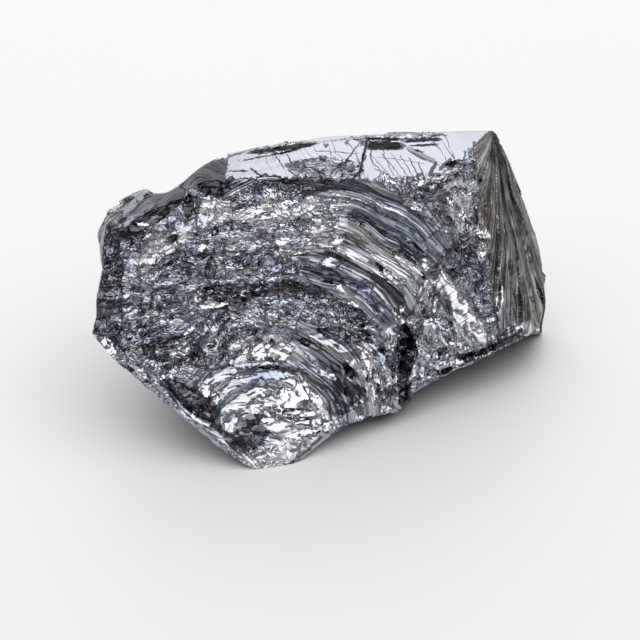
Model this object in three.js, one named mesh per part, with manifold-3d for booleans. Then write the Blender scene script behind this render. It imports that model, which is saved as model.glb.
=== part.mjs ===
// A lump of silicon metal, broken from a cast slab. It is one solid: a chunky block of fracture planes
// with conchoidal scars, flakes struck off along the crack's lines of travel, columnar grooves down its
// right end, cleavage facets along its crest and one flat facet that it rests on.
// Millimetres, +Z up, origin under the middle of its box. The broad fracture face looks along -Y and up.

import * as THREE from "three";
import { ConvexGeometry } from "three/addons/geometries/ConvexGeometry.js";
import { mergeVertices } from "three/addons/utils/BufferGeometryUtils.js";
import Module from "manifold-3d";

const wasm = await Module();
wasm.setup();

const { degToRad, radToDeg, lerp, mapLinear } = THREE.MathUtils;

// ---------------------------------------------------------------- sides of the lump
const FACE_RISE = degToRad(35); // how far the broad face looks above the horizon

// A side is a flat frame to place things in: u runs along it, v up it, and out points away from it.
function side(facing, along) {
  const out = new THREE.Vector3(...facing).normalize();
  const u = new THREE.Vector3(...along).normalize();
  u.addScaledVector(out, -u.dot(out)).normalize();
  const v = new THREE.Vector3().crossVectors(out, u);
  return { out, u, v, basis: new THREE.Matrix4().makeBasis(u, v, out) };
}

const front = side([0, -Math.cos(FACE_RISE), Math.sin(FACE_RISE)], [1, 0, 0]);
const rightEnd = side([0.75, -0.62, 0.3], [0.62, 0.75, 0]);
const back = side([0, 0.9, 0.45], [-1, 0, 0]);
const under = side([-0.4, -0.2, -1], [1, 0, 0]);

// ---------------------------------------------------------------- driving dimensions
const REST_CUT = 0.5; // how much of the underside the resting facet takes off
const WELD = 1e-4; // vertices closer than this are one
const DISC_HEIGHT = 16; // height of the tool that cuts a terrace
const DISC_SIDES = 28;
const REACH = 150; // more than the lump's size, for lines that start well clear of it

// Corners of the rough block, measured from its nose, the low front corner that it stands on.
// Those of the broad face are given along and up that face, and the others as x, y, z.
const BROAD_FACE_CORNERS = [
  [-27, 21.3],
  [-21.5, 16.9],
  [-10, 5.5],
  [-27, 30.1],
  [-27.1, 38.9],
  [-28.9, 43.3],
  [-7.8, 50.6],
  [-1.8, 51.8],
  [4.9, 51.6],
  [15.9, 51.3],
];
const BROAD_FACE_FALL = { along: 0.04, up: -0.055 }; // how it falls back per mm along and up it
const TOP_RIGHT = [39.8, 42.4, 44.2];
const CORNERS = {
  nose: [
    [-1.2, -0.6, -0.5],
    [2.4, 0.2, -0.5],
  ],
  leftRim: [
    [-3.5, -0.7, 1],
    [-8, 1, 3],
    [-12.9, 3.7, 6],
    [-17, 6.5, 9],
    [-21.5, 8.7, 12],
    [-28.1, 9.9, 17.5],
  ],
  leftEnd: [
    [-31.5, 11.5, 21],
    [-30.8, 18.2, 24.5],
    [-31.2, 28.8, 31],
    [-29.5, 30.5, 34],
    [-27.8, 30, 35],
    [-25.4, 31.3, 37],
    [-22.4, 29.3, 40],
  ],
  crest: [
    [-8.5, 37.9, 42],
    [-2.6, 37.2, 44],
    [8.5, 35.6, 46],
    [22.7, 37.9, 46],
    [30.5, 39.8, 45.5],
    TOP_RIGHT,
    [29.6, 29.2, 41.7],
    [36.3, 35.5, 42.3],
  ],
  rightRim: [
    [13.7, 11, 0],
    [24.7, 17.2, 0.8],
    [42, 26.4, 8],
    [48.5, 32.3, 6.5],
  ],
  rightEnd: [
    [41.9, 42.8, 39],
    [44, 43.1, 33],
    [46.2, 43.7, 27],
    [47.8, 44.3, 22.5],
    [48.9, 43.1, 18],
    [49.9, 41, 12.5],
    [50.3, 38.3, 9],
    [49.8, 41.3, 0],
  ],
  back: [
    [-25, 38, 27],
    [-14, 46, 33],
    [10, 52, 37],
    [34, 53, 35],
    [46, 54, 14],
    [22, 62, 12],
    [-8, 56, 12],
    [-22, 42, 16],
  ],
  underside: [
    [46, 50, 0],
    [18, 56, 0],
    [-6, 48, 0],
    [-12, 38, 0],
  ],
};

// Hollows in the outline that the broad face shows, as u, v on the front. What they enclose goes.
const HOLLOWS = {
  shoulder: [
    [-22.2, 49.5],
    [-21.1, 48.8],
    [-18.6, 48.9],
    [-16.2, 50.4],
    [-14.3, 52.3],
    [-12.7, 53.6],
    [-8.4, 55.8],
    [-8.4, 62],
    [-24, 62],
  ],
  leftEnd: [
    [-31.2, 43],
    [-30, 37.7],
    [-29.6, 35.8],
    [-30.4, 32.2],
    [-30.8, 30.5],
    [-30.8, 27.1],
    [-31.5, 25],
    [-31.7, 23.8],
    [-40, 22],
    [-40, 43],
  ],
  rightRim: [
    [2.9, 0.4],
    [6, 2.5],
    [9.3, 5.3],
    [13.6, 8.2],
    [18, 9.5],
    [22.2, 10.1],
    [24.4, 11.8],
    [25, 13.5],
    [28, 15.2],
    [32.6, 17.6],
    [38, 19.5],
    [42, 21.7],
    [47, 23.9],
    [60, 24.4],
    [60, -12],
    [0, -12],
  ],
};

// Conchoidal scars: the spot struck, the terraces' radii, the slope of the steps between them and how
// much their floors climb toward the middle. Each row of sunk is a bearing in degrees with the depth
// there of the outermost terrace and of the innermost.
const ARCH = { u: 2.75, v: 12.25 };
const FAN = { u: -0.7, v: 4 };
const CUP = { u: -32, v: -20 };
const SCARS = [
  {
    where: front,
    ...ARCH,
    radii: [39.9, 37.6, 34.8, 32.2, 29.4, 27, 24.4, 21.4],
    sunk: [
      [90, 0.7, 2.4],
      [50, 0.7, 3.2],
      [200, -3, -1.6],
    ],
    slope: 0.55,
    climb: 0.12,
    seed: 11,
  },
  {
    where: front,
    ...FAN,
    radii: [20.2, 18.2, 16.2, 13.8, 11],
    sunk: [
      [100, 0.7, 2.2],
      [30, 0.5, 1.6],
      [265, -0.6, 0],
    ],
    slope: 0.8,
    climb: 0.16,
    seed: 5,
  },
  {
    where: back,
    ...CUP,
    radii: [37, 33, 29.5, 25, 20.5, 15],
    sunk: [
      [95, 0.3, 3.4],
      [45, -0.5, 3.6],
      [-5, 0.3, 3],
    ],
    slope: 0.8,
    climb: 0.14,
    seed: 8,
  },
];

// Single grooves and facets on the front. Bearing and roll are in degrees.
const GOUGES = [
  // the trough across the left half, the dark facet by the nose and the pit under the shoulder
  { u: -0.7, v: 30.7, bearing: -3, length: 25, width: 5.5, depth: 1.9, roll: 15 },
  { u: -14, v: 11.5, bearing: -38, length: 13, width: 7, depth: 1.6, roll: -12 },
  { u: -10.2, v: 50, bearing: 20, length: 7, width: 5, depth: 2.2, roll: 0 },
  // either side of the ridge that comes down to the lower right rim
  { u: 30.4, v: 27.5, bearing: -54, length: 22, width: 6, depth: 2.6, roll: -25 },
  { u: 37, v: 31.5, bearing: -56, length: 18, width: 6, depth: 2.4, roll: 25 },
  { u: 34.5, v: 39.5, bearing: 35, length: 9, width: 6.5, depth: 1.6, roll: 20 },
  { u: 24, v: 20, bearing: -75, length: 17, width: 5.5, depth: 2.6, roll: 15 },
  { u: 19, v: 16, bearing: -68, length: 14, width: 3.6, depth: 1.6, roll: -10 },
  // cracks and steps in the crest's facets
  { u: 16.2, v: 55, bearing: 86, length: 8, width: 1, depth: 0.9, roll: 0 },
  { u: 19, v: 53.4, bearing: -14, length: 9, width: 1.6, depth: 0.5, roll: 10 },
  { u: 26, v: 56, bearing: -32, length: 7, width: 2.4, depth: 0.6, roll: -15 },
  { u: 21.5, v: 57.6, bearing: 4, length: 15, width: 1.9, depth: 0.8, roll: 25 },
  { u: 2, v: 56.4, bearing: 7, length: 12, width: 1.5, depth: 0.7, roll: 20 },
  // the bevel along the lower left rim
  { u: -28, v: 22.4, bearing: -39, length: 13, width: 3.6, depth: 1.2, roll: -20 },
  { u: -17, v: 13.2, bearing: -41, length: 17, width: 2.8, depth: 1, roll: -20 },
  { u: -6, v: 4, bearing: -38, length: 14, width: 2.6, depth: 1, roll: -20 },
];

// Bearings, in degrees, that flakes lie along at a spot on a side.
const along = (bearing) => () => bearing;
const round = (middle) => (u, v) => radToDeg(Math.atan2(v - middle.v, u - middle.u)) + 90;
const spreading = (where, corner) => (u, v) => {
  const start = new THREE.Vector3(...corner);
  return radToDeg(Math.atan2(v - start.dot(where.v), u - start.dot(where.u)));
};

// Patches of flakes. Each is struck inside an outline, given as u, v on its side or as x, y, z.
const FLAKES = {
  leftHalf: {
    where: front,
    outline: [
      [-30, 24],
      [-19, 12],
      [-3, 20],
      [-4, 34],
      [-5, 48],
      [-18, 47],
      [-30, 42],
    ],
    count: 76,
    length: [5, 12],
    width: [1.8, 4.2],
    depth: [0.7, 1.6],
    flow: (u, v) => mapLinear(v, 14, 46, 48, 2),
    scatter: 16,
    seed: 3,
  },
  archRings: {
    where: front,
    outline: [
      [-4, 49],
      [16, 50],
      [30, 42],
      [34, 30],
      [30, 20],
      [20, 24],
      [8, 37],
      [-4, 38],
    ],
    count: 26,
    length: [6, 12],
    width: [1.3, 2.6],
    depth: [0.5, 1.1],
    flow: round(ARCH),
    scatter: 6,
    seed: 7,
  },
  fanRings: {
    where: front,
    outline: [
      [-9, 8],
      [-2, 3],
      [10, 7],
      [20, 12],
      [22, 24],
      [6, 26],
      [-6, 24],
    ],
    count: 24,
    length: [4, 9],
    width: [1.6, 3.4],
    depth: [0.6, 1.3],
    flow: round(FAN),
    scatter: 20,
    seed: 9,
  },
  archFloor: {
    where: front,
    outline: [
      [-2, 22],
      [0, 35],
      [8, 38],
      [17, 35],
      [20, 26],
      [10, 21],
    ],
    count: 18,
    length: [5, 10],
    width: [1.6, 3],
    depth: [0.6, 1.2],
    flow: along(-12),
    scatter: 12,
    seed: 21,
  },
  lowerRight: {
    where: front,
    outline: [
      [24, 16],
      [40, 22],
      [39, 40],
      [33, 42],
      [34, 28],
      [22, 22],
    ],
    count: 40,
    length: [4, 8],
    width: [1.6, 3],
    depth: [0.6, 1.3],
    flow: along(-50),
    scatter: 25,
    seed: 12,
  },
  columns: {
    where: rightEnd,
    outline: [
      TOP_RIGHT,
      [37.3, 34.5, 38],
      [43, 27.4, 10],
      [48.5, 32.3, 6.5],
      [49.9, 38.3, 9],
      [46.2, 43, 27],
    ],
    count: 32,
    length: [10, 24],
    width: [1, 1.9],
    depth: [0.5, 0.9],
    flow: spreading(rightEnd, TOP_RIGHT),
    scatter: 1,
    roll: 20,
    seed: 4,
  },
  plates: {
    where: front,
    outline: [
      [-29, 44],
      [-17, 45],
      [-20, 49.5],
      [-27, 46.5],
    ],
    count: 9,
    length: [8, 13],
    width: [1.4, 2.2],
    depth: [0.7, 1.1],
    flow: along(27),
    scatter: 4,
    roll: 15,
    seed: 6,
  },
  crestBump: {
    where: front,
    outline: [
      [2.5, 51],
      [15.5, 51],
      [15, 54.5],
      [8, 55],
    ],
    count: 9,
    length: [2.5, 4.5],
    width: [1, 1.8],
    depth: [0.4, 0.8],
    flow: along(0),
    scatter: 40,
    seed: 14,
  },
  backFace: {
    where: back,
    outline: [
      [-44, -6],
      [-20, -14],
      [8, -12],
      [22, 2],
      [12, 14],
      [-12, 16],
      [-36, 12],
    ],
    count: 24,
    length: [7, 15],
    width: [2.4, 5],
    depth: [0.8, 1.7],
    flow: round(CUP),
    scatter: 20,
    seed: 17,
  },
  undercut: {
    where: under,
    outline: [
      [-2, 6, 1],
      [-28, 12, 18],
      [-29, 26, 27],
      [-22, 41, 17],
      [-8, 47, 4],
      [-9, 36, 1],
    ],
    count: 20,
    length: [6, 13],
    width: [2.2, 4.4],
    depth: [0.7, 1.4],
    flow: along(60),
    scatter: 20,
    seed: 23,
  },
};

// ---------------------------------------------------------------- small tools
function seeded(seed) {
  let state = seed >>> 0;
  return () => {
    state = (state + 0x6d2b79f5) >>> 0;
    let t = state;
    t = Math.imul(t ^ (t >>> 15), t | 1);
    t ^= t + Math.imul(t ^ (t >>> 7), t | 61);
    return ((t ^ (t >>> 14)) >>> 0) / 4294967296;
  };
}

// A closed geometry as a solid that can be cut.
function solid(geometry) {
  const bare = geometry.index ? geometry.toNonIndexed() : geometry.clone();
  bare.deleteAttribute("normal");
  bare.deleteAttribute("uv");
  const merged = mergeVertices(bare, WELD);
  const vertProperties = merged.getAttribute("position").array;
  const triVerts = new Uint32Array(merged.index.array);
  return new wasm.Manifold(new wasm.Mesh({ numProp: 3, vertProperties, triVerts }));
}

function geometryOf(made) {
  const mesh = made.getMesh();
  const geometry = new THREE.BufferGeometry();
  geometry.setAttribute("position", new THREE.BufferAttribute(new Float32Array(mesh.vertProperties), 3));
  geometry.setIndex(new THREE.BufferAttribute(new Uint32Array(mesh.triVerts), 1));
  return geometry;
}

// The largest closed surface of a geometry: crumbs that breaking leaves loose fall away.
function largestPiece(geometry) {
  const { index } = geometry;
  const leader = Array.from({ length: geometry.getAttribute("position").count }, (_, i) => i);
  const leaderOf = (i) => {
    let at = i;
    while (leader[at] !== at) {
      leader[at] = leader[leader[at]];
      at = leader[at];
    }
    return at;
  };
  for (let i = 0; i < index.count; i += 3) {
    leader[leaderOf(index.getX(i + 1))] = leaderOf(index.getX(i));
    leader[leaderOf(index.getX(i + 2))] = leaderOf(index.getX(i));
  }
  const pieces = new Map();
  for (let i = 0; i < index.count; i += 3) {
    const key = leaderOf(index.getX(i));
    if (!pieces.has(key)) pieces.set(key, []);
    pieces.get(key).push(index.getX(i), index.getX(i + 1), index.getX(i + 2));
  }
  const [largest] = [...pieces.values()].sort((a, b) => b.length - a.length);
  const piece = new THREE.BufferGeometry();
  piece.setAttribute("position", geometry.getAttribute("position"));
  piece.setIndex(largest);
  return mergeVertices(piece.toNonIndexed(), WELD);
}

const onSide = (where, u, v, out) => new THREE.Vector3(u, v, out).applyMatrix4(where.basis);
const lineInto = (where, u, v) => new THREE.Ray(onSide(where, u, v, REACH), where.out.clone().negate());

// Where a line that comes straight down on a side meets the lump, or null where it passes by.
function strike(target, where, u, v) {
  const { origin, direction } = lineInto(where, u, v);
  const [hit] = new THREE.Raycaster(origin, direction).intersectObject(target);
  return hit ? { at: hit.point, normal: hit.face.normal.clone() } : null;
}

const targetOf = (made) => new THREE.Mesh(geometryOf(made), new THREE.MeshBasicMaterial());

// ---------------------------------------------------------------- the rough block
function roughBlock() {
  const broad = BROAD_FACE_CORNERS.map(([u, v]) =>
    onSide(front, u, v, -(BROAD_FACE_FALL.along * u + BROAD_FACE_FALL.up * v)),
  );
  const others = Object.values(CORNERS).flat();
  return solid(new ConvexGeometry([...broad, ...others.map((corner) => new THREE.Vector3(...corner))]));
}

// ---------------------------------------------------------------- hollows in the outline
function hollow(outline) {
  const shape = new THREE.Shape(outline.map(([u, v]) => new THREE.Vector2(u, v)));
  const prism = new THREE.ExtrudeGeometry(shape, { depth: REACH, bevelEnabled: false });
  return solid(prism.translate(0, 0, -REACH / 2).applyMatrix4(front.basis));
}

// ---------------------------------------------------------------- conchoidal scars
// The tool for one terrace: a disc with a wavy edge, sides that widen upward and a hollowed underside,
// so that it leaves a step down and then a floor that climbs toward the middle.
function wavyDisc(radius, slope, climb, random) {
  const profile = [
    new THREE.Vector2(0, climb * radius),
    new THREE.Vector2(radius, 0),
    new THREE.Vector2(radius + slope * DISC_HEIGHT, DISC_HEIGHT),
    new THREE.Vector2(0, DISC_HEIGHT),
  ];
  const geometry = new THREE.LatheGeometry(profile, DISC_SIDES);
  const waves = [2, 3, 5, 8].map((n) => {
    const size = (0.05 / Math.sqrt(n)) * random();
    return { n, size, start: 2 * Math.PI * random() };
  });
  const corners = geometry.getAttribute("position");
  for (let i = 0; i < corners.count; i += 1) {
    const bearing = Math.atan2(corners.getZ(i), corners.getX(i));
    const reach = waves.reduce((sum, { n, size, start }) => sum + size * Math.sin(n * bearing + start), 1);
    corners.setX(i, corners.getX(i) * reach);
    corners.setZ(i, corners.getZ(i) * reach);
  }
  return geometry;
}

// The place on a face near a radius from (u, v), or nearer where the face ends before that.
function edgeOf(target, where, u, v, radius, bearing) {
  for (let reach = 0.9 * radius; reach > 0; reach -= 1) {
    const hit = strike(target, where, u + reach * Math.cos(bearing), v + reach * Math.sin(bearing));
    if (hit) return hit.at;
  }
  throw new Error("the scar misses the face");
}

// A scar's terraces, one inside the next. Three depths at three bearings set how each disc lies.
function terraces(made, { where, u, v, radii, sunk, slope, climb, seed }) {
  const target = targetOf(made);
  const random = seeded(seed);
  const up = new THREE.Vector3(0, 1, 0);
  return radii.map((radius, index) => {
    const inward = index / (radii.length - 1);
    const floor = sunk.map(([bearing, outer, inner]) => {
      const depth = lerp(outer, inner, inward) + 0.3 * (random() - 0.5);
      return edgeOf(target, where, u, v, radius, degToRad(bearing)).addScaledVector(where.out, -depth);
    });
    const plane = new THREE.Plane().setFromCoplanarPoints(...floor);
    if (plane.normal.dot(where.out) < 0) plane.negate();
    const middle = lineInto(where, u, v).intersectPlane(plane, new THREE.Vector3());
    const rising = index < radii.length - 1 ? climb * (0.3 + 1.4 * random()) : 0;
    const disc = wavyDisc(radius, slope, rising, random);
    disc.applyQuaternion(new THREE.Quaternion().setFromUnitVectors(up, plane.normal));
    return solid(disc.translate(...middle));
  });
}

// ---------------------------------------------------------------- flakes
// The bed of one flake: a long, thin, lop-sided pit with flat facets.
function flakeBed(hit, where, { bearing, length, width, depth, roll }, random) {
  const { at, normal } = hit;
  const tangent = where.u.clone().multiplyScalar(Math.cos(degToRad(bearing)));
  tangent.addScaledVector(where.v, Math.sin(degToRad(bearing)));
  tangent.addScaledVector(normal, -tangent.dot(normal)).normalize();
  const across = new THREE.Vector3().crossVectors(normal, tangent);
  const slip = () => 0.5 * (random() - 0.5);
  const corners = [
    [1, slip(), slip()],
    [-1, slip(), slip()],
    [slip(), 1, slip()],
    [slip(), -1, slip()],
    [slip(), slip(), 1],
    [slip(), slip(), -1],
  ].map(([x, y, z]) => new THREE.Vector3((x * length) / 2, (y * width) / 2, z * depth));
  const placed = new THREE.Matrix4().makeBasis(tangent, across, normal).setPosition(at);
  return solid(new ConvexGeometry(corners).rotateX(degToRad(roll)).applyMatrix4(placed));
}

function inside([u, v], outline) {
  return outline.reduce((within, [u1, v1], i) => {
    const [u0, v0] = outline.at(i - 1);
    const crosses = v1 > v !== v0 > v && u < ((u0 - u1) * (v - v1)) / (v0 - v1) + u1;
    return crosses ? !within : within;
  }, false);
}

// The beds of a patch of flakes, scattered over it with room between them.
function flakeBeds(made, { where, outline, count, length, width, depth, flow, scatter, roll = 30, seed }) {
  const target = targetOf(made);
  const random = seeded(seed);
  const between = (low, high) => lerp(low, high, random());
  const flat = outline.map((corner) => {
    if (corner.length === 2) return corner;
    const spot = new THREE.Vector3(...corner);
    return [spot.dot(where.u), spot.dot(where.v)];
  });
  const us = flat.map(([u]) => u);
  const vs = flat.map(([, v]) => v);
  const beds = [];
  const taken = [];
  for (let tries = 0; beds.length < count && tries < 40 * count; tries += 1) {
    const u = between(Math.min(...us), Math.max(...us));
    const v = between(Math.min(...vs), Math.max(...vs));
    const size = { length: between(...length), width: between(...width), depth: between(...depth) };
    const clear = taken.every((t) => Math.hypot(t.u - u, t.v - v) > 0.5 * (t.width + size.width));
    const hit = clear && inside([u, v], flat) ? strike(target, where, u, v) : null;
    if (!hit) continue;
    taken.push({ u, v, width: size.width });
    const bearing = flow(u, v) + between(-scatter, scatter);
    beds.push(flakeBed(hit, where, { ...size, bearing, roll: between(-roll, roll) }, random));
  }
  return beds;
}

// ---------------------------------------------------------------- the lump
const less = (made, tool) => made.subtract(tool);

let body = Object.values(HOLLOWS).map(hollow).reduce(less, roughBlock());
for (const scar of SCARS) {
  body = terraces(body, scar).reduce(less, body);
}
GOUGES.forEach((gouge, index) => {
  const hit = strike(targetOf(body), front, gouge.u, gouge.v);
  body = body.subtract(flakeBed(hit, front, gouge, seeded(index + 20)));
});
for (const patch of Object.values(FLAKES)) {
  body = flakeBeds(body, patch).reduce(less, body);
}
const ground = new THREE.BoxGeometry(2 * REACH, 2 * REACH, REACH).translate(0, 0, REST_CUT - REACH / 2);
body = body.subtract(solid(ground));

const geometry = largestPiece(geometryOf(body));
geometry.computeBoundingBox();
const middle = geometry.boundingBox.getCenter(new THREE.Vector3());

const lump = new THREE.Mesh(
  geometry,
  new THREE.MeshStandardMaterial({ color: 0x8f939c, roughness: 0.25, metalness: 1 }),
);
lump.name = "silicon_lump";
lump.position.set(-middle.x, -middle.y, -geometry.boundingBox.min.z);

const part = new THREE.Group();
part.add(lump);
export default part;
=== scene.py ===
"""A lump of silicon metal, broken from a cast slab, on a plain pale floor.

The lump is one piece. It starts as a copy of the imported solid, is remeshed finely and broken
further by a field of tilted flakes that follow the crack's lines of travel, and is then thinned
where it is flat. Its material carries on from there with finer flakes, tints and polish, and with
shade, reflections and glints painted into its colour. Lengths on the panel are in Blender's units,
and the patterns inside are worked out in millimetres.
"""

import math

import bpy
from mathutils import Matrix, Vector


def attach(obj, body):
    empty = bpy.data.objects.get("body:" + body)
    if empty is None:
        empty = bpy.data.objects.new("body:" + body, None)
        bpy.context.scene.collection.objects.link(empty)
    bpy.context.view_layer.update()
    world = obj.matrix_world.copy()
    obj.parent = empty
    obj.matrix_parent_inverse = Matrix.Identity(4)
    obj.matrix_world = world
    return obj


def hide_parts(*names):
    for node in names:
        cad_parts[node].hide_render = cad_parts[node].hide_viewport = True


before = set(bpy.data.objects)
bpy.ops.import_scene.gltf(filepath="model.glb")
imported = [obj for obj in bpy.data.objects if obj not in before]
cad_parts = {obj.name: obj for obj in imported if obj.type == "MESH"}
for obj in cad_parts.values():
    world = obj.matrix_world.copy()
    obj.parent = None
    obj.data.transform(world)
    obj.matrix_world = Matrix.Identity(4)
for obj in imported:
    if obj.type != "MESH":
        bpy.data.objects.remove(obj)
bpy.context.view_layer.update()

bl_info = {
    "name": "Silicon metal lump",
    "version": (1, 0, 0),
    "blender": (4, 5, 0),
    "location": "3D View > Sidebar > Silicon",
    "description": "Breaks a lump of silicon metal and lights it on a pale floor",
    "category": "Add Mesh",
}

MM = 0.001
TO_MM = 1000.0

# The lump's nose, the low front corner that all is measured from, in the part's frame and in mm.
NOSE = Vector((-9.385, -28.257, -0.5))

# The broad face's own axes: along it, up it and into the lump.
RISE = math.radians(35)
ALONG = Vector((1, 0, 0))
UP = Vector((0, math.sin(RISE), math.cos(RISE)))
INTO = Vector((0, math.cos(RISE), -math.sin(RISE)))

# The spots that the cracks spread from: three along and up the broad face from the nose, and the
# top right corner in space, with the axes of the right end below it.
ARCH = (2.75, 12.25)
FAN = (-4.0, 4.75)
SHOULDER = (-10.6, 46.9)
TOP_RIGHT = Vector((39.8, 42.4, 44.2))
END_ALONG = Vector((0.637, 0.771, 0))
END_UP = Vector((-0.225, 0.186, 0.947))

# The back's lines of travel: across them and along them.
BACK_ACROSS = Vector((0.3, 0.5, 0.8))
BACK_ALONG = Vector((0.8, -0.6, 0.1))

HALF = Vector((0.5, 0.5, 0.5))
BLACK = (0, 0, 0)


# ---- node expressions
def is_vector(value):
    """Whether a value or a socket in an expression is a vector or a colour."""
    if isinstance(value, Wire):
        return value.socket.type in {"VECTOR", "RGBA"}
    return isinstance(value, Vector)


class Wire:
    """A socket of a node tree that works in Python expressions."""

    def __init__(self, net, socket):
        self.net = net
        self.socket = socket

    def _with(self, operation, other, swapped=False):
        pair = (other, self) if swapped else (self, other)
        if not any(map(is_vector, pair)):
            return self.net.math(operation, *pair)
        if operation == "MULTIPLY" and not all(map(is_vector, pair)):
            factor, vector = sorted(pair, key=is_vector)
            return self.net.scale(vector, factor)
        return self.net.vector_math(operation, *pair)

    def __add__(self, other):
        return self._with("ADD", other)

    __radd__ = __add__

    def __sub__(self, other):
        return self._with("SUBTRACT", other)

    def __rsub__(self, other):
        return self._with("SUBTRACT", other, swapped=True)

    def __mul__(self, other):
        return self._with("MULTIPLY", other)

    __rmul__ = __mul__

    def __truediv__(self, other):
        return self._with("DIVIDE", other)

    def __rtruediv__(self, other):
        return self._with("DIVIDE", other, swapped=True)

    def __neg__(self):
        return self * -1

    def __gt__(self, other):
        return self.net.math("GREATER_THAN", self, other)

    def __lt__(self, other):
        return self.net.math("LESS_THAN", self, other)

    def __abs__(self):
        return self.net.math("ABSOLUTE", self)

    def dot(self, other):
        return self.net.vector_math("DOT_PRODUCT", self, other, output="Value")

    def xyz(self):
        split = self.net.node("ShaderNodeSeparateXYZ", {}, {"Vector": self})
        return [Wire(self.net, split.outputs[axis]) for axis in "XYZ"]


class Net:
    """Makes nodes in one tree."""

    def __init__(self, tree):
        self.tree = tree

    def feed(self, socket, value):
        """Links value to a socket or sets it there. A colour may leave out its last number."""
        if isinstance(value, Wire):
            value = value.socket
        if isinstance(value, bpy.types.NodeSocket):
            self.tree.links.new(value, socket)
        elif hasattr(value, "__len__") and not isinstance(value, str):
            missing = len(socket.default_value) - len(value)
            socket.default_value = (*value, *[1.0] * missing)
        else:
            socket.default_value = value

    def node(self, kind, settings, sockets):
        made = self.tree.nodes.new(kind)
        for name, value in settings.items():
            setattr(made, name, value)
        for name, value in sockets.items():
            self.feed(made.inputs[name], value)
        return made

    def get(self, kind, settings, sockets, output=0):
        return Wire(self, self.node(kind, settings, sockets).outputs[output])

    def math(self, operation, *values, clamp=False):
        settings = {"operation": operation, "use_clamp": clamp}
        return self.get("ShaderNodeMath", settings, dict(enumerate(values)))

    def vector_math(self, operation, *values, output=0):
        settings = {"operation": operation}
        return self.get("ShaderNodeVectorMath", settings, dict(enumerate(values)), output)

    def scale(self, vector, factor):
        sockets = {"Vector": vector, "Scale": factor}
        return self.get("ShaderNodeVectorMath", {"operation": "SCALE"}, sockets)

    def vector(self, x, y, z):
        return self.get("ShaderNodeCombineXYZ", {}, {"X": x, "Y": y, "Z": z})

    def clamp(self, value):
        return self.math("ADD", value, 0.0, clamp=True)

    def ramp(self, value, low, high):
        """0 where value is at low, 1 at high, and straight between."""
        sockets = {"Value": value, "From Min": low, "From Max": high}
        return self.get("ShaderNodeMapRange", {"clamp": True}, sockets)

    def pick(self, mask, no, yes):
        """yes where mask is 1, no where it is 0."""
        if any(map(is_vector, (no, yes))):
            return self.get("ShaderNodeMix", {"data_type": "VECTOR"}, {0: mask, 4: no, 5: yes}, 1)
        return self.get("ShaderNodeMix", {"data_type": "FLOAT"}, {0: mask, 2: no, 3: yes}, 0)

    def tint(self, factor, a, b):
        """Colour a turned into colour b by factor."""
        return self.get("ShaderNodeMix", {"data_type": "RGBA"}, {0: factor, 6: a, 7: b}, 2)

    def between(self, value, low, high):
        """1 where value lies between low and high."""
        return (value > low) * (value < high)

    def polar(self, x, y):
        """The distance and the angle of a point from the origin."""
        return self.math("SQRT", x * x + y * y), self.math("ARCTAN2", y, x)

    def bands(self, reach, stops):
        """Painted tone of light and shade, smoothness and brownness at a distance, read off a list
        of stops.
        """
        last = stops[-1][0]
        made = self.node("ShaderNodeValToRGB", {}, {"Fac": reach / last})
        ramp = made.color_ramp
        for at, tone_and_painted_light, brown in stops[1:-1]:
            ramp.elements.new(at / last).color = (tone_and_painted_light, BAND_SMOOTHNESS, brown, 1.0)
        for end in (0, -1):
            at, tone_and_painted_light, brown = stops[end]
            ramp.elements[end].position = at / last
            ramp.elements[end].color = (tone_and_painted_light, BAND_SMOOTHNESS, brown, 1.0)
        return Wire(self, made.outputs["Color"])

    def noise(self, vector, scale, detail=2.0, output="Fac"):
        sockets = {"Vector": vector, "Scale": scale, "Detail": detail, "Roughness": 0.55}
        return self.get("ShaderNodeTexNoise", {"noise_dimensions": "3D"}, sockets, output)

    def sway(self, vector, scale, detail):
        """A smooth random push of up to about a half each way."""
        return self.noise(vector, scale, detail, "Color") - HALF

    def cells(self, vector, scale):
        """A random colour for each cell of a mosaic, and where the cell's middle is."""
        settings = {"voronoi_dimensions": "3D", "feature": "F1"}
        made = self.node("ShaderNodeTexVoronoi", settings, {"Vector": vector, "Scale": scale})
        return Wire(self, made.outputs["Color"]), Wire(self, made.outputs["Position"])

    def cell_edges(self, vector, scale):
        """The distance to the nearest edge of a mosaic's cells."""
        settings = {"voronoi_dimensions": "3D", "feature": "DISTANCE_TO_EDGE"}
        sockets = {"Vector": vector, "Scale": scale}
        return self.get("ShaderNodeTexVoronoi", settings, sockets, "Distance")


# ---- how the lump broke
# Places are in mm from the nose, along and up the broad face and into it. Turns are in degrees.

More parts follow.
